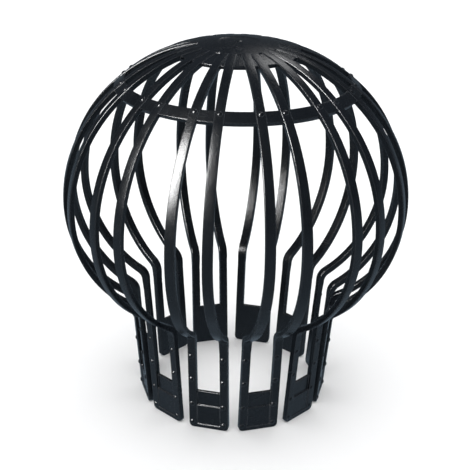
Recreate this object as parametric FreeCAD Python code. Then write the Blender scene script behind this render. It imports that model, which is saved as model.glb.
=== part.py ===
"""Balloon guard for a gutter outlet: one plastic moulding of a crown, a ring, ribs in pairs and sprung legs.

Millimetres, +Z up. The origin is the middle of the circle of leg ends, which stand on z = 0.
"""

import FreeCAD, Part
import math
import os

from FreeCAD import Vector

# Balloon, measured on the outer face of the ribs
balloon_radius = 72.5
shoulder_radius = 64.0
belly_radius = 52.5
neck_radius = 45.0

# Ribs, two to each leg
leg_count = 12
rib_width = 4.3
rib_inner_width = 3.7
rib_depth = 2.4
rib_spacing = 14.6

# Crown: a round cap with a sloping skirt, a little proud of the ribs that end in its thicker rim
crown_radius = 26.0
crown_proud = 0.25
crown_thickness = 1.8
skirt_slope = 16.0
cap_radius = 9.0

# Ring round the upper part of the balloon
ring_radius = 48.5
ring_width = 5.4
ring_recess = 0.3
ring_depth = 2.4

# Legs: two bars that carry a plate at their lower end
leg_height = 45.5
leg_lean = 4.8
leg_width = 17.0
bar_width = 3.5
bar_recess = 0.15
plate_height = 18.5
plate_corner = 1.7
panel_border = 1.8
panel_depth = 1.0
ledge_height = 11.5
ledge_depth = 0.4

# How far a bar runs up into its rib, and a rib under the crown
root = 1.2

# The line of a rib: the belly arc from the neck up to the widest circle, then the shoulder arc
lean = math.radians(leg_lean)
bar_offset = (leg_width - bar_width) / 2
pair_angle = math.asin(rib_spacing / 2 / balloon_radius)
widest_x = balloon_radius * math.cos(pair_angle)
neck_x = math.sqrt(neck_radius ** 2 - bar_offset ** 2)
belly_inset = math.hypot(widest_x - neck_x, rib_spacing / 2 - bar_offset)
neck_angle = math.acos(1 - belly_inset / belly_radius)
widest_height = leg_height + belly_radius * math.sin(neck_angle)

# Where the ribs meet the rim of the crown
rim_angle = math.acos(1 - (balloon_radius - crown_radius) / shoulder_radius)
rim_height = widest_height + shoulder_radius * math.sin(rim_angle) + crown_proud

UP = Vector(0, 0, 1)


class UprightPlane:
    """A plane that stands on a point of the widest circle and runs inward from it."""

    def __init__(self, start, towards):
        self.start = start
        self.inward = (towards - start).normalize()

    def point(self, inset, height):
        """A point by its distance inward from the widest circle and its height."""
        return self.start + self.inward * inset + UP * height


def arc_edge(point_at, start, end):
    """Edge of a round arc, given the function that places a point at an angle."""
    return Part.Arc(point_at(start), point_at((start + end) / 2), point_at(end)).toShape()


def rib_path(upper, lower):
    """Edges of a rib's line on its outer face, from the neck to under the crown."""

    def belly(angle):
        inset = belly_radius * (1 - math.cos(angle))
        return lower.point(inset, widest_height - belly_radius * math.sin(angle))

    def shoulder(angle):
        inset = shoulder_radius * (1 - math.cos(angle))
        return upper.point(inset, widest_height + shoulder_radius * math.sin(angle))

    root_angle = math.acos(1 - (balloon_radius - crown_radius + root) / shoulder_radius)
    return [arc_edge(belly, neck_angle, 0), arc_edge(shoulder, 0, root_angle)]


def rib(side):
    """One rib, on one side of its leg: a section with drafted sides, swept along the rib's line."""
    widest = Vector(widest_x, side * rib_spacing / 2, 0)
    neck = Vector(neck_x, side * bar_offset, 0)
    lower = UprightPlane(widest, neck)
    path = rib_path(UprightPlane(widest, Vector()), lower)
    start = path[0].Vertexes[0].Point
    across = UP.cross(lower.inward)
    inner_way = lower.inward * math.cos(neck_angle) + UP * math.sin(neck_angle)
    half = [(rib_width / 2, 0), (rib_inner_width / 2, rib_depth)]
    outline = half + [(-width, depth) for width, depth in reversed(half)]
    corners = [start + across * width + inner_way * depth for width, depth in outline]
    section = Part.makePolygon(corners + corners[:1])
    return Part.Wire(path).makePipeShell([section], True)


def leaning_slab(half_width, bottom, top, depth):
    """Slab that leans with the leg, between two heights and inward from the leg's front."""
    corners = []
    for across, height in ((-1, bottom), (1, bottom), (1, top), (-1, top)):
        front = neck_x - bar_recess - (leg_height - height) * math.tan(lean)
        corners.append(Vector(front, across * half_width, height))
    return Part.Face(Part.makePolygon(corners + corners[:1])).extrude(Vector(-depth, 0, 0))


def is_foot_corner(edge):
    """Whether an edge of the leg runs from front to back at its foot."""
    start, end = (vertex.Point for vertex in edge.Vertexes)
    return max(start.z, end.z) < plate_corner and abs(start.y - end.y) < plate_corner


def frame():
    """A leg's frame: two bars beside a window, above a plate with a stepped panel."""
    half = leg_width / 2
    top = leg_height + root
    slab = leaning_slab(half, 0, top, rib_depth)
    foot_corners = [edge for edge in slab.Edges if is_foot_corner(edge)]
    slab = slab.makeChamfer(plate_corner, foot_corners)
    window_half = half - bar_width
    window = leaning_slab(window_half, plate_height, top, rib_depth)
    ledge = leaning_slab(window_half, panel_border, plate_height, ledge_depth)
    panel = leaning_slab(window_half, ledge_height, plate_height, panel_depth)
    return slab.cut([window, ledge, panel])


def leg():
    """A leg's frame with the pair of ribs that it carries."""
    return frame().fuse([rib(1), rib(-1)])


def crown():
    """The cap and skirt that close the top, turned about the axis."""
    slope = math.radians(skirt_slope)
    cap_sphere = cap_radius / math.sin(slope)
    cap_height = rim_height + (crown_radius - cap_radius) * math.tan(slope)

    def cap(angle):
        rise = cap_sphere * (math.cos(angle) - math.cos(slope))
        return Vector(cap_sphere * math.sin(angle), 0, cap_height + rise)

    rim = Vector(crown_radius, 0, rim_height)
    rim_foot = rim - UP * (rib_depth + 3 * crown_proud) / math.sin(rim_angle)
    under_edge = cap(slope) - UP * crown_thickness
    under_centre = Vector(0, 0, under_edge.z)
    edges = [
        arc_edge(cap, 0, slope),
        Part.makeLine(cap(slope), rim),
        Part.makeLine(rim, rim_foot),
        Part.makeLine(rim_foot, under_edge),
        Part.makeLine(under_edge, under_centre),
        Part.makeLine(under_centre, cap(0)),
    ]
    return Part.Face(Part.Wire(edges)).revolve(Vector(), UP, 360)


def ring():
    """The band that ties the ribs, square to their slope and turned about the axis."""
    angle = math.acos(1 - (balloon_radius - ring_radius) / shoulder_radius)
    height = widest_height + shoulder_radius * math.sin(angle)
    outward = Vector(math.cos(angle), 0, math.sin(angle))
    along = Vector(math.sin(angle), 0, -math.cos(angle))
    middle = Vector(ring_radius, 0, height) - outward * ring_recess
    corners = []
    for width, depth in ((-0.5, 0), (0.5, 0), (0.5, ring_depth), (-0.5, ring_depth)):
        corners.append(middle + along * ring_width * width - outward * depth)
    return Part.Face(Part.makePolygon(corners + corners[:1])).revolve(Vector(), UP, 360)


def guard():
    pitch = 360 / leg_count
    one = leg()
    legs = [one.rotated(Vector(), UP, pitch * (i + 0.5)) for i in range(leg_count)]
    return crown().fuse([ring()] + legs)


os.makedirs("parts", exist_ok=True)
guard().exportStep("parts/leaf_guard.step")
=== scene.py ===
import math
from contextlib import contextmanager

import bmesh
import bpy
import numpy as np
from mathutils import Matrix, Vector


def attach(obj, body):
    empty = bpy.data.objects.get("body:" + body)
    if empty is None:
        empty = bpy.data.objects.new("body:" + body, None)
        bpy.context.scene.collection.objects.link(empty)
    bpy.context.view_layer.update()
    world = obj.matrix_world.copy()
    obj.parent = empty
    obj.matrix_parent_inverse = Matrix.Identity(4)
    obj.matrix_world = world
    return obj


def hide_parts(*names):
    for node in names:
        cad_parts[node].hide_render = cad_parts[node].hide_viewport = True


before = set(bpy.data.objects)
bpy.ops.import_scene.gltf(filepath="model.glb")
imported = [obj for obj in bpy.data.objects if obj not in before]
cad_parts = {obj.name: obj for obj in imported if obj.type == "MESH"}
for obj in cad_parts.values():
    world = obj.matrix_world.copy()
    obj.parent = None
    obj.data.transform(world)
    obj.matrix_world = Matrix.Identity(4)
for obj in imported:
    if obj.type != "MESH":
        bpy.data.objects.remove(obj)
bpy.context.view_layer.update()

MM = 0.001
UP = np.array((0.0, 0.0, 1.0))
SIDEWAYS = np.array((0.0, 1.0, 0.0))

# The moulding's sizes, the same as the solid's
LEG_COUNT = 12
BALLOON_RADIUS = 72.5 * MM
SHOULDER_RADIUS = 64.0 * MM
BELLY_RADIUS = 52.5 * MM
NECK_RADIUS = 45.0 * MM
RIB_WIDTH = 4.3 * MM
RIB_INNER_WIDTH = 3.7 * MM
RIB_DEPTH = 2.4 * MM
RIB_SPACING = 14.6 * MM
CROWN_THICKNESS = 1.8 * MM
RING_RADIUS = 48.5 * MM
RING_WIDTH = 5.4 * MM
RING_RECESS = 0.3 * MM
RING_DEPTH = 2.4 * MM
LEG_HEIGHT = 45.5 * MM
LEAN = math.radians(4.8)
LEG_WIDTH = 17.0 * MM
BAR_WIDTH = 3.5 * MM
BAR_RECESS = 0.15 * MM
PLATE_HEIGHT = 18.5 * MM
PANEL_BORDER = 1.8 * MM
PANEL_DEPTH = 1.0 * MM
LEDGE_HEIGHT = 11.5 * MM
LEDGE_DEPTH = 0.4 * MM
ROOT = 1.2 * MM

# Softness that moulding gives the solid's sharp edges
RIB_EDGE = 0.6 * MM
RIB_CROWNING = 0.05 * MM
FOOT_CORNER = 2.0 * MM
FRAME_EDGE = 0.28 * MM
RING_EDGE = 0.5 * MM

# How a rib leaves its bar: it starts inside the bar, rounds the elbow and is full above the neck
LAP = 7.0 * MM
LAP_SINK = 0.12 * MM
ELBOW = 2.2 * MM
NECK_TAPER = 5.0 * MM
NECK_WIDTH = BAR_WIDTH + 0.2 * MM
NECK_DEPTH = RIB_DEPTH + BAR_RECESS + 0.05 * MM

# Where a rib turns to face out from the axis, measured from the widest circle, and its top width
TURN_START = -35.0 * MM
TURN_END = -5.0 * MM
TOP_WIDTH = 3.8 * MM

# The crown: a round cap that runs on from the ribs, and a skirt with the ribs in relief
CROWN_RADIUS = 25.2 * MM
CAP_RADIUS = 16.3 * MM
RIB_RISE = 1.2 * MM
RELIEF = 0.45 * MM
CAP_EDGE = 0.5 * MM
RIM_DEPTH = 1.5 * MM
RIM_EDGE = 0.4 * MM
UNDERSIDE_RADIUS = 9.0 * MM
DIMPLE_RADIUS = 8.5 * MM
DIMPLE_DEPTH = 0.3 * MM
DIMPLE_EDGE = 0.6 * MM

# Raised pips on the bars and where the ribs cross the ring, and the gate's nub on the crown
PIP_RADIUS = 1.1 * MM
PIP_HEIGHT = 0.55 * MM
PIP_OFFSET = -0.45 * MM
BAR_PIP_HEIGHTS = (36.0 * MM, 24.5 * MM, 12.0 * MM, 2.6 * MM)
RING_PIP_UP = 1.1 * MM
NUB_RADIUS = 1.5 * MM
NUB_HEIGHT = 0.35 * MM

# How finely curves are divided
CORNER_STEPS = 4
LAP_STEPS = 7
ELBOW_STEPS = 10
BELLY_STEPS = 39
SHOULDER_STEPS = 47
RING_STEPS = 192
CROWN_STEPS = 144
CAP_STEPS = 7
CROWN_EDGE_STEPS = 5
SKIRT_STEPS = 6
FOOT_STEPS = 7
FRAME_EDGE_STEPS = 3
PIP_STEPS = 24
PIP_LEVELS = 7

# Limits that tell faces, corners and points of a mesh apart
FLAT_ANGLE = math.radians(1)
FRAME_CORNER_ANGLE = math.radians(40)
SHARP_ANGLE = math.radians(14)
NEAR = 0.01 * MM
WELD_REACH = 0.005 * MM

# The plastic: its colours, its gloss, and the lighter edges and pips, which are a painted
# highlight with some wear
TINT_DARK = (0.003, 0.0042, 0.006, 1)
TINT_LIGHT = (0.006, 0.008, 0.011, 1)
# Colour of edges, pips and inner corners: a painted highlight standing in for their glints, with
# some wear
TINT_WORN_AND_HIGHLIGHT = (0.060, 0.066, 0.074, 1)
ROUGHNESS_LOW = 0.17
ROUGHNESS_HIGH = 0.33
WEAR_AND_HIGHLIGHT_REACH = 0.5 * MM
WEAR_AND_HIGHLIGHT_FULL = 0.86
WEAR_AND_HIGHLIGHT_NONE = 0.99
BLACK = (0, 0, 0, 1)
WHITE = (1, 1, 1, 1)

# The studio: lengths in metres, and the room's shade below and above the horizon
FLOOR_REACH = 12.0
FLOOR_COLOUR = (0.9, 0.9, 0.9, 1)
FLOOR_ROUGHNESS = 0.9
OVERHEAD_HEIGHT = 3.0
PANEL_DISTANCE = 0.9
ROOM_BELOW = (0.20, 0.26, 0.32, 1)
ROOM_ABOVE = (0.05, 0.056, 0.064, 1)
HORIZON_START = -0.25
HORIZON_END = 0.10

# The photograph's view: camera distance and height angle from the middle of the widest circle
CAMERA_DISTANCE = 466 * MM
CAMERA_ELEVATION = math.radians(21.8)
CAMERA_TURN = math.radians(-1.3)
CAMERA_ROLL = math.radians(1.1)
CAMERA_LENS = 84
CAMERA_SENSOR = 36
AIM_HEIGHT = 73 * MM

# Places that follow from the sizes
bar_offset = (LEG_WIDTH - BAR_WIDTH) / 2
widest_x = math.sqrt(BALLOON_RADIUS ** 2 - (RIB_SPACING / 2) ** 2)
neck_x = math.sqrt(NECK_RADIUS ** 2 - bar_offset ** 2)
belly_inset = math.hypot(widest_x - neck_x, RIB_SPACING / 2 - bar_offset)
neck_angle = math.acos(1 - belly_inset / BELLY_RADIUS)
widest_height = LEG_HEIGHT + BELLY_RADIUS * math.sin(neck_angle)


def unit(vector):
    return vector / np.linalg.norm(vector)


def smooth_step(value, low, high):
    """Share from 0 to 1 of the way from low to high, slow at both ends."""
    share = min(1.0, max(0.0, (value - low) / (high - low)))
    return share * share * (3 - 2 * share)


def steps_after(start, end, count):
    """Evenly spaced values after the start, up to the end itself."""
    return np.linspace(start, end, count + 1)[1:]


def bent(start, corner, end, steps):
    """Points of a soft bend that leaves start towards corner and arrives at end."""
    start, corner, end = (np.asarray(point, float) for point in (start, corner, end))
    shares = np.linspace(0, 1, steps + 1)[:, None]
    return (1 - shares) ** 2 * start + 2 * shares * (1 - shares) * corner + shares ** 2 * end


def rounded(corners, reach):
    """A closed outline with every corner softened over the given reach along its two sides."""
    corners = [np.asarray(corner, float) for corner in corners]
    points = []
    for index, corner in enumerate(corners):
        before = corner + unit(corners[index - 1] - corner) * reach
        after = corner + unit(corners[(index + 1) % len(corners)] - corner) * reach
        points.extend(bent(before, corner, after, CORNER_STEPS))
    return np.array(points)


def turned(outline, steps):
    """Points of an outline of (radius, height), turned about the upright axis."""
    points = []
    for angle in np.linspace(0, 2 * math.pi, steps, endpoint=False):
        points.extend((r * math.cos(angle), r * math.sin(angle), z) for r, z in outline)
    return points


@contextmanager
def edited(mesh):
    """The mesh opened for editing, and written back at the end."""
    shaped = bmesh.new()
    shaped.from_mesh(mesh)
    yield shaped
    shaped.to_mesh(mesh)
    shaped.free()


def mesh_object(name, vertices, faces):
    """New object with a mesh whose faces look outward."""
    mesh = bpy.data.meshes.new(name)
    mesh.from_pydata([tuple(vertex) for vertex in vertices], [], faces)
    with edited(mesh) as shaped:
        bmesh.ops.recalc_face_normals(shaped, faces=shaped.faces)
    made = bpy.data.objects.new(name, mesh)
    bpy.context.scene.collection.objects.link(made)
    return made


def tube_faces(rings, around, closed):
    """Quads between neighbouring rings of points, with end caps unless the rings form a loop."""
    faces = []
    for ring in range(rings if closed else rings - 1):
        here = ring * around
        there = (ring + 1) % rings * around
        for index in range(around):
            follow = (index + 1) % around
            faces.append((here + index, here + follow, there + follow, there + index))
    if not closed:
        faces.append(tuple(range(around)))
        faces.append(tuple(range((rings - 1) * around, rings * around)))
    return faces


def apply_modifiers(item):
    """Give the object the mesh that its modifiers make, and remove them."""
    graph = bpy.context.evaluated_depsgraph_get()
    mesh = bpy.data.meshes.new_from_object(item.evaluated_get(graph))
    item.modifiers.clear()
    item.data = mesh


def combined(base, others, operation):
    """The base with the others added or taken away, as one mesh; the others are removed."""
    for other in others:
        step = base.modifiers.new("combine", "BOOLEAN")
        step.operation = operation
        step.solver = "MANIFOLD"
        step.object = other
        apply_modifiers(base)
        bpy.data.objects.remove(other)
    return base


def weld(item):
    """Join points that all but touch, and drop those that only split an edge of two faces."""
    with edited(item.data) as shaped:
        bmesh.ops.remove_doubles(shaped, verts=shaped.verts, dist=WELD_REACH)
        spare = [vertex for vertex in shaped.verts if len(vertex.link_edges) == 2]
        bmesh.ops.dissolve_verts(shaped, verts=spare)


def rise(radius):
    """How far the ribs stand above their arc at a radius between the ring and the crown."""
    return RIB_RISE * max(0, RING_RADIUS - radius) / (RING_RADIUS - CROWN_RADIUS)


def rib_line():
    """The line of a rib's outer face, from its bar round the elbow and up to the cap.

    Each point is (inset, height); the inset is counted inward from the widest circle.
    """
    def belly(angle):
        inset = BELLY_RADIUS * (1 - math.cos(angle))
        return np.array((inset, widest_height - BELLY_RADIUS * math.sin(angle)))

    def shoulder(angle):
        inset = SHOULDER_RADIUS * (1 - math.cos(angle))
        height = widest_height + SHOULDER_RADIUS * math.sin(angle)
        return np.array((inset, height + rise(BALLOON_RADIUS - inset)))

    root_angle = math.acos(1 - (BALLOON_RADIUS - CAP_RADIUS + ROOT) / SHOULDER_RADIUS)
    elbow_angle = neck_angle - ELBOW / BELLY_RADIUS
    neck = belly(neck_angle)
    down = np.array((math.sin(LEAN), -math.cos(LEAN)))
    lap_shares = np.linspace(1, 0, LAP_STEPS + 1)[:-1]
    points = [neck + down * (ELBOW + LAP * share) for share in lap_shares]
    points.extend(bent(neck + down * ELBOW, neck, belly(elbow_angle), ELBOW_STEPS))
    points.extend(belly(angle) for angle in steps_after(elbow_angle, 0, BELLY_STEPS))
    points.extend(shoulder(angle) for angle in steps_after(0, root_angle, SHOULDER_STEPS))
    return np.array(points)


def rib_size(height):
    """Width, depth and sink of a rib at a height, and how far its section is from its bar's.

    The rib starts inside its bar, is full a little above the neck and narrows to the top.
    """
    bar_top = LEG_HEIGHT - ELBOW
    out = smooth_step(height, bar_top - LAP, bar_top)
    full = smooth_step(height, bar_top, LEG_HEIGHT + NECK_TAPER)
    top = smooth_step(height, widest_height, widest_height + SHOULDER_RADIUS)
    width_within = BAR_WIDTH - 2 * LAP_SINK
    depth_within = RIB_DEPTH - 2 * LAP_SINK
    width = width_within + (NECK_WIDTH - width_within) * out + (RIB_WIDTH - NECK_WIDTH) * full
    depth = depth_within + (NECK_DEPTH - depth_within) * out + (RIB_DEPTH - NECK_DEPTH) * full
    sink = (BAR_RECESS + LAP_SINK) * (1 - out)
    return width + (TOP_WIDTH - RIB_WIDTH) * top, depth, sink, full


def sections():
    """Sections of a bar and of a rib, point for point, as shares of a rib's width and depth."""
    half, inner_half = RIB_WIDTH / 2, RIB_INNER_WIDTH / 2
    full_size = (RIB_WIDTH, RIB_DEPTH)
    front = [(-half, 0), (0, 0), (half, 0)]
    crowned_front = [(-half, RIB_CROWNING), (0, 0), (half, RIB_CROWNING)]
    bar = rounded(front + [(half, RIB_DEPTH), (-half, RIB_DEPTH)], FRAME_EDGE)
    drafted_back = [(inner_half, RIB_DEPTH), (-inner_half, RIB_DEPTH)]
    return bar / full_size, rounded(crowned_front + drafted_back, RIB_EDGE) / full_size


def rib(side):
    """One rib: a crowned section with drafted sides, swept along the rib's line from its bar."""
    widest = np.array((widest_x, side * RIB_SPACING / 2, 0))
    lower = unit(np.array((neck_x, side * bar_offset, 0)) - widest)
    upper = unit(-widest)
    bar_section, rib_section = sections()
    points = rib_line()
    vertices = []
    for (inset, height), (turn_in, turn_up) in zip(points, np.gradient(points, axis=0)):
        inward = lower if height < widest_height else upper
        centre = widest + inward * inset + UP * height
        turn = smooth_step(height - widest_height, TURN_START, TURN_END)
        facing = unit(lower + (upper - lower) * turn)
        depth_way = unit(facing * turn_up - UP * turn_in)
        across = np.cross(UP, facing)
        width, depth, sink, full = rib_size(height)
        for share_across, share_in in bar_section + (rib_section - bar_section) * full:
            sideways = across * width * share_across
            vertices.append(centre + sideways + depth_way * (sink + depth * share_in))
    return mesh_object("rib", vertices, tube_faces(len(points), len(rib_section), False))


def slope_frame(radius):
    """Height of the shoulder arc at a radius, with its outward and downward ways."""
    angle = math.acos(1 - (BALLOON_RADIUS - radius) / SHOULDER_RADIUS)
    height = widest_height + SHOULDER_RADIUS * math.sin(angle)
    outward = np.array((math.cos(angle), math.sin(angle)))
    down = np.array((math.sin(angle), -math.cos(angle)))
    return height, outward, down


def ring():
    """The band that ties the ribs, turned about the upright axis."""
    height, outward, down = slope_frame(RING_RADIUS)
    middle = np.array((RING_RADIUS, height)) - outward * RING_RECESS
    corners = []
    for width, depth in ((-0.5, 0), (0.5, 0), (0.5, RING_DEPTH), (-0.5, RING_DEPTH)):
        corners.append(middle + down * RING_WIDTH * width - outward * depth)
    outline = rounded(corners, RING_EDGE)
    faces = tube_faces(RING_STEPS, len(outline), True)
    return mesh_object("ring", turned(outline, RING_STEPS), faces)


def rib_face(radius):
    """Height of the ribs' outer face at a radius between the ring and the cap."""
    return slope_frame(radius)[0] + rise(radius)


def cap_sphere():
    """Radius of the cap's sphere, which meets the slope of the ribs, and its middle's height."""
    outward = slope_frame(CAP_RADIUS)[1]
    slope = math.atan(outward[0] / outward[1] + RIB_RISE / (RING_RADIUS - CROWN_RADIUS))
    sphere = CAP_RADIUS / math.sin(slope)
    return sphere, rib_face(CAP_RADIUS) - sphere * math.cos(slope)


def cap(radius, sink=0.0):
    """Point of the cap's outline at a radius, sunk below its sphere."""
    sphere, middle = cap_sphere()
    return np.array((radius, middle + math.sqrt(sphere ** 2 - radius ** 2) - sink))


def skirt(radius, sink=RELIEF):
    """Point of the skirt's outline at a radius, sunk below the ribs' outer face."""
    return np.array((radius, rib_face(radius) - sink))


def crown_outline():
    """Outline of the crown: dimple, cap, the step down to the skirt, the rim and the underside."""
    drop = np.array((0, -1))
    rim = skirt(CROWN_RADIUS)
    foot = rim + drop * RIM_DEPTH
    underside = cap(UNDERSIDE_RADIUS, CROWN_THICKNESS)
    floor_radius = DIMPLE_RADIUS - DIMPLE_EDGE
    skirt_start = CAP_RADIUS + CAP_EDGE
    skirt_end = CROWN_RADIUS - RIM_EDGE
    outline = [cap(radius, DIMPLE_DEPTH) for radius in steps_after(0, floor_radius, CAP_STEPS)]
    for share in steps_after(0, 1, CROWN_EDGE_STEPS):
        sink = DIMPLE_DEPTH * (1 - smooth_step(share, 0, 1))
        outline.append(cap(DIMPLE_RADIUS - DIMPLE_EDGE * (1 - share), sink))
    outline.extend(cap(radius) for radius in steps_after(DIMPLE_RADIUS, CAP_RADIUS, CAP_STEPS))
    for share in steps_after(0, 1, CROWN_EDGE_STEPS):
        sink = RELIEF * smooth_step(share, 0, 1)
        outline.append(skirt(CAP_RADIUS + CAP_EDGE * share, sink))
    skirt_radii = steps_after(skirt_start, skirt_end, SKIRT_STEPS)
    outline.extend(skirt(radius) for radius in skirt_radii[:-1])
    outline.extend(bent(skirt(skirt_end), rim, rim + drop * RIM_EDGE, CORNER_STEPS))
    rim_under = foot + unit(underside - foot) * RIM_EDGE
    outline.extend(bent(foot - drop * RIM_EDGE, foot, rim_under, CORNER_STEPS))
    outline.append(underside)
    return outline


def crown():
    """The crown, turned about the axis and closed by a fan of faces above and below."""
    outline = crown_outline()
    count = len(outline)
    top, bottom = (0, *cap(0, DIMPLE_DEPTH)), (0, 0, outline[-1][1])
    vertices = [top, bottom, *turned(outline, CROWN_STEPS)]
    faces = []
    for step in range(CROWN_STEPS):
        here = 2 + step * count
        there = 2 + (step + 1) % CROWN_STEPS * count
        faces.append((0, here, there))
        faces.append((1, there + count - 1, here + count - 1))
        for index in range(count - 1):
            faces.append((here + index, here + index + 1, there + index + 1, there + index))
    return mesh_object("crown", vertices, faces)


def block(name, low, high):
    """Plain box between two corners."""
    xs, ys, zs = zip(low, high)
    corners = [(x, y, z) for x in xs for y in ys for z in zs]
    faces = [(0, 1, 3, 2), (4, 5, 7, 6), (0, 1, 5, 4), (2, 3, 7, 6), (0, 2, 6, 4), (1, 3, 7, 5)]
    return mesh_object(name, corners, faces)


def bevel(shaped, edges, reach, steps):
    """Round some edges of a mesh that is being edited."""
    round_profile = 0.5
    bmesh.ops.bevel(
        shaped, geom=edges, offset=reach, offset_type="OFFSET", segments=steps,
        profile=round_profile, affect="EDGES",
    )


def is_foot_corner(edge):
    """Whether an edge of the leg's frame runs from front to back at its foot."""
    start, end = (vertex.co for vertex in edge.verts)
    return max(start.z, end.z) < NEAR and abs(start.y - end.y) < NEAR


def soften_frame(item):
    """Round the two lower corners of a leg's frame and take the sharpness off all its edges."""
    with edited(item.data) as shaped:
        bmesh.ops.dissolve_limit(
            shaped, angle_limit=FLAT_ANGLE, use_dissolve_boundaries=False,
            verts=shaped.verts, edges=shaped.edges,
        )
        foot_corners = [edge for edge in shaped.edges if is_foot_corner(edge)]
        bevel(shaped, foot_corners, FOOT_CORNER, FOOT_STEPS)
        sharp = [edge for edge in shaped.edges if edge.calc_face_angle(0) > FRAME_CORNER_ANGLE]
        bevel(shaped, sharp, FRAME_EDGE, FRAME_EDGE_STEPS)


def leg_front(height):
    """Distance of a leg's front face from the axis at a height."""
    return neck_x - BAR_RECESS - (LEG_HEIGHT - height) * math.tan(LEAN)


def leg_frame():
    """A leg's frame: two bars beside a window, above a plate with a stepped panel, leaning in."""
    half = LEG_WIDTH / 2
    top = LEG_HEIGHT - ELBOW
    window_half = half - BAR_WIDTH
    clear = 5 * MM
    slab = block("leg_frame", (-RIB_DEPTH, -half, 0), (0, half, top))
    window = (PLATE_HEIGHT, RIB_DEPTH + clear)
    ledge = (PANEL_BORDER, LEDGE_DEPTH)
    panel = (LEDGE_HEIGHT, PANEL_DEPTH)
    cuts = []
    for bottom, depth in (window, ledge, panel):
        low = (-depth, -window_half, bottom)
        cuts.append(block("cut", low, (clear, window_half, top + clear)))
    combined(slab, cuts, "DIFFERENCE")
    soften_frame(slab)
    for vertex in slab.data.vertices:
        vertex.co.x += leg_front(vertex.co.z)
    return slab


def pip(place, outward, radius, height):
    """Small raised dot on a face: a cap of a sphere, with a point below, sunk into the face."""
    along = unit(np.cross(SIDEWAYS, outward))
    side = np.cross(outward, along)
    edge_tilt = 2 * math.atan(height / radius)
    sphere = radius / math.sin(edge_tilt)
    vertices = [place + outward * height, place - outward * height]
    for level in range(1, PIP_LEVELS + 1):
        tilt = edge_tilt * level / PIP_LEVELS
        centre = place + outward * sphere * (math.cos(tilt) - math.cos(edge_tilt))
        for step in range(PIP_STEPS):
            turn = 2 * math.pi * step / PIP_STEPS
            flat = side * math.cos(turn) + along * math.sin(turn)
            vertices.append(centre + flat * sphere * math.sin(tilt))
    faces = []
    last = 2 + (PIP_LEVELS - 1) * PIP_STEPS
    for step in range(PIP_STEPS):
        follow = (step + 1) % PIP_STEPS
        faces.append((0, 2 + step, 2 + follow))
        faces.append((1, last + follow, last + step))
        for here in range(2, last, PIP_STEPS):
            there = here + PIP_STEPS
            faces.append((here + step, there + step, there + follow, here + follow))
    return mesh_object("pip", vertices, faces)


def leg_pips(side):
    """The pips on one bar, and the one on its rib at the ring."""
    bar_out = np.array((math.cos(LEAN), 0, -math.sin(LEAN)))
    pips = []
    for height in BAR_PIP_HEIGHTS:
        place = np.array((leg_front(height), side * bar_offset + PIP_OFFSET, height))
        pips.append(pip(place, bar_out, PIP_RADIUS, PIP_HEIGHT))
    ring_height, outward, down = slope_frame(RING_RADIUS)
    radius, height = np.array((RING_RADIUS, ring_height)) - down * RING_PIP_UP
    around = side * math.asin(RIB_SPACING / 2 / BALLOON_RADIUS)
    radial = np.array((math.cos(around), math.sin(around), 0))
    rib_out = radial * outward[0] + UP * outward[1]
    pips.append(pip(radial * radius + UP * height, rib_out, PIP_RADIUS, PIP_HEIGHT))
    return pips


def leg():
    """A leg's frame with its pair of ribs and its pips, as one mesh."""
    return combined(leg_frame(), [rib(1), rib(-1), *leg_pips(1), *leg_pips(-1)], "UNION")


def all_legs():
    """One leg and its copies, evenly about the axis, with a gap between two facing the camera."""
    first = leg()
    legs = [first]
    for _ in range(LEG_COUNT - 1):
        copy = bpy.data.objects.new("leg", first.data.copy())
        bpy.context.scene.collection.objects.link(copy)
        legs.append(copy)
    for index, item in enumerate(legs):
        turn = 2 * math.pi * (index + 0.5) / LEG_COUNT
        item.data.transform(Matrix.Rotation(turn, 4, "Z"))
    return legs


def guard():
    """The whole moulding as one closed mesh."""
    legs = all_legs()
    dimple_floor = UP * (sum(cap_sphere()) - DIMPLE_DEPTH)
    nub = pip(dimple_floor, UP, NUB_RADIUS, NUB_HEIGHT)
    whole = combined(crown(), [nub, ring(), *legs], "UNION")
    weld(whole)
    whole.name = "guard_moulding"
    whole.data.shade_smooth()
    whole.data.set_sharp_from_angle(angle=SHARP_ANGLE)
    even = whole.modifiers.new("even_shading", "WEIGHTED_NORMAL")
    even.keep_sharp = True
    apply_modifiers(whole)
    whole.data.name = "guard_moulding"
    whole.data.materials.clear()
    return whole


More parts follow.
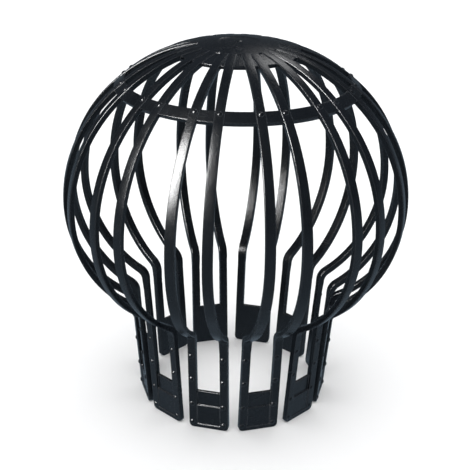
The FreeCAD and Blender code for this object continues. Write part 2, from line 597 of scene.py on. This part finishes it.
def black_plastic():
    """Semi-gloss black plastic: fine moulded grain, cloudy gloss, and edges and pips lightened as
    a painted highlight with slight wear.
    """
    material = bpy.data.materials.new("black_plastic")
    material.use_nodes = True
    nodes, links = material.node_tree.nodes, material.node_tree.links
    shader = nodes["Principled BSDF"]
    place = nodes.new("ShaderNodeTexCoord")

    def noise(scale, detail):
        node = nodes.new("ShaderNodeTexNoise")
        node.inputs["Scale"].default_value = scale
        node.inputs["Detail"].default_value = detail
        links.new(place.outputs["Object"], node.inputs["Vector"])
        return node.outputs["Fac"]

    def ramp(source, *stops):
        node = nodes.new("ShaderNodeValToRGB")
        for element, (position, colour) in zip(node.color_ramp.elements, stops):
            element.position = position
            element.color = colour
        links.new(source, node.inputs["Fac"])
        return node.outputs["Color"]

    def flatness(reach, samples):
        """1 on flat faces, less within reach of an edge."""
        softened = nodes.new("ShaderNodeBevel")
        softened.samples = samples
        softened.inputs["Radius"].default_value = reach
        likeness = nodes.new("ShaderNodeVectorMath")
        likeness.operation = "DOT_PRODUCT"
        geometry = nodes.new("ShaderNodeNewGeometry")
        links.new(softened.outputs["Normal"], likeness.inputs[0])
        links.new(geometry.outputs["Normal"], likeness.inputs[1])
        return likeness.outputs["Value"]

    def bump(scale, detail, strength, depth):
        node = nodes.new("ShaderNodeBump")
        node.inputs["Strength"].default_value = strength
        node.inputs["Distance"].default_value = depth
        links.new(noise(scale, detail), node.inputs["Height"])
        return node

    tint = ramp(noise(scale=60, detail=3), (0.35, TINT_DARK), (0.7, TINT_LIGHT))
    # Edges, pips and inner corners within reach turn lighter: a painted highlight for their
    # glints, with a little wear
    flat = flatness(WEAR_AND_HIGHLIGHT_REACH, samples=6)
    worn_and_highlight = ramp(flat, (WEAR_AND_HIGHLIGHT_FULL, WHITE), (WEAR_AND_HIGHLIGHT_NONE, BLACK))
    mix = nodes.new("ShaderNodeMix")
    mix.data_type = "RGBA"
    factor, plain, worn_and_highlight_colour, colour = mix.inputs[0], mix.inputs[6], mix.inputs[7], mix.outputs[2]
    links.new(worn_and_highlight, factor)
    links.new(tint, plain)
    worn_and_highlight_colour.default_value = TINT_WORN_AND_HIGHLIGHT
    links.new(colour, shader.inputs["Base Color"])

    roughness = nodes.new("ShaderNodeMapRange")
    roughness.inputs["To Min"].default_value = ROUGHNESS_LOW
    roughness.inputs["To Max"].default_value = ROUGHNESS_HIGH
    links.new(noise(scale=140, detail=2), roughness.inputs["Value"])
    links.new(roughness.outputs["Result"], shader.inputs["Roughness"])

    waves = bump(scale=110, detail=1, strength=0.35, depth=0.10 * MM)
    grain = bump(scale=2000, detail=2, strength=0.6, depth=0.12 * MM)
    links.new(waves.outputs["Normal"], grain.inputs["Normal"])
    links.new(grain.outputs["Normal"], shader.inputs["Normal"])
    return material


def pale_floor():
    """Large plain floor under the object, kept out of the gloss."""
    reach = FLOOR_REACH
    corners = [(-reach, -reach, 0), (reach, -reach, 0), (reach, reach, 0), (-reach, reach, 0)]
    floor = mesh_object("floor", corners, [(0, 1, 2, 3)])
    floor.visible_glossy = False
    material = bpy.data.materials.new("floor")
    material.use_nodes = True
    shader = material.node_tree.nodes["Principled BSDF"]
    shader.inputs["Base Color"].default_value = FLOOR_COLOUR
    shader.inputs["Roughness"].default_value = FLOOR_ROUGHNESS
    floor.data.materials.append(material)


def soft_light(name, place, width, height, power):
    """Rectangular studio light that faces the balloon's middle."""
    data = bpy.data.lights.new(name, "AREA")
    data.shape = "RECTANGLE"
    data.size = width
    data.size_y = height
    data.energy = power
    lamp = bpy.data.objects.new(name, data)
    lamp.location = place
    facing = Vector((0, 0, widest_height)) - Vector(place)
    lamp.rotation_euler = facing.to_track_quat("-Z", "Y").to_euler()
    bpy.context.scene.collection.objects.link(lamp)
    return lamp


def place_round(turn, tilt, distance):
    """A point round the balloon's middle; turn 0 is the camera's side and grows to its right."""
    flat = distance * math.cos(tilt)
    height = widest_height + distance * math.sin(tilt)
    return Vector((flat * math.sin(turn), -flat * math.cos(turn), height))


def panel_place(azimuth, elevation):
    """Place of a light panel, from its angles in degrees."""
    return place_round(math.radians(azimuth), math.radians(elevation), PANEL_DISTANCE)


def lights():
    """Even light from above for the floor, and soft panels that only the gloss shows."""
    overhead_place = (0, 0, OVERHEAD_HEIGHT)
    overhead = soft_light("overhead", overhead_place, width=10, height=10, power=540)
    overhead.visible_glossy = False
    key_place = panel_place(azimuth=-50, elevation=34)
    back_place = panel_place(azimuth=160, elevation=45)
    panels = [
        soft_light("key_panel", key_place, width=0.28, height=0.60, power=25),
        soft_light("back_panel", back_place, width=0.25, height=0.25, power=0.6),
    ]
    for panel in panels:
        panel.visible_diffuse = False


def room():
    """The world round the studio: a cool grey below the horizon that darkens above it."""
    world = bpy.data.worlds.new("studio")
    world.use_nodes = True
    nodes, links = world.node_tree.nodes, world.node_tree.links
    place = nodes.new("ShaderNodeTexCoord")
    direction = nodes.new("ShaderNodeSeparateXYZ")
    links.new(place.outputs["Generated"], direction.inputs["Vector"])
    horizon = nodes.new("ShaderNodeMapRange")
    horizon.inputs["From Min"].default_value = HORIZON_START
    horizon.inputs["From Max"].default_value = HORIZON_END
    links.new(direction.outputs["Z"], horizon.inputs["Value"])
    shade = nodes.new("ShaderNodeValToRGB")
    shade.color_ramp.elements[0].color = ROOM_BELOW
    shade.color_ramp.elements[1].color = ROOM_ABOVE
    links.new(horizon.outputs["Result"], shade.inputs["Fac"])
    links.new(shade.outputs["Color"], nodes["Background"].inputs["Color"])
    bpy.context.scene.world = world


def camera():
    """Camera at the photograph's viewing angle, close enough to fill the frame."""
    data = bpy.data.cameras.new("camera")
    data.sensor_width = CAMERA_SENSOR
    data.lens = CAMERA_LENS
    item = bpy.data.objects.new("camera", data)
    place = place_round(CAMERA_TURN, CAMERA_ELEVATION, CAMERA_DISTANCE)
    look = (Vector((0, 0, AIM_HEIGHT)) - place).to_track_quat("-Z", "Y")
    roll = Matrix.Rotation(CAMERA_ROLL, 4, "Z")
    item.matrix_world = Matrix.Translation(place) @ look.to_matrix().to_4x4() @ roll
    bpy.context.scene.collection.objects.link(item)
    bpy.context.scene.camera = item


moulding = guard()
moulding.data.materials.append(black_plastic())
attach(moulding, "root")
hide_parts("leaf_guard")

pale_floor()
lights()
room()
camera()
bpy.context.scene.view_settings.view_transform = "Standard"
